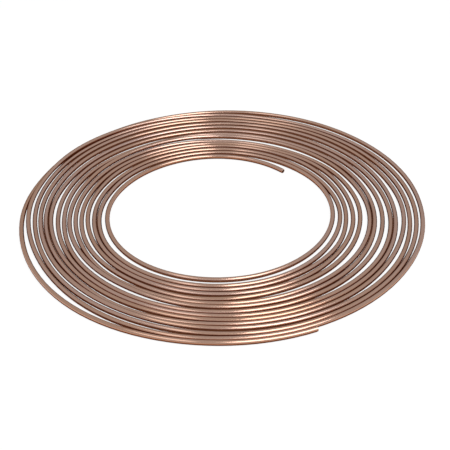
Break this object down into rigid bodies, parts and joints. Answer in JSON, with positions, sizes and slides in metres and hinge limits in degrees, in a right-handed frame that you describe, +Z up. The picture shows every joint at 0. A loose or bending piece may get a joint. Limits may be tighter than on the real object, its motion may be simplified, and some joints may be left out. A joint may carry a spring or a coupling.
{
  "type": "copper tube coil",
  "caption": "Loose flat coil of thin hollow copper tube, wound in one layer with a wide open eye, small gaps between its turns and two free square-cut ends.",
  "frame": {"origin": "on the floor plane under the middle of the coil's outline", "axes": "+Z up, square to the flat coil; the picture was taken from the -Y side; +X to the right in the picture"},
  "size_m": [0.424, 0.4312, 0.0086],
  "materials": {
    "bright_copper": null
  },
  "bodies": {
    "root": {"copper_tube": "bright_copper"}
  },
  "joints": []
}
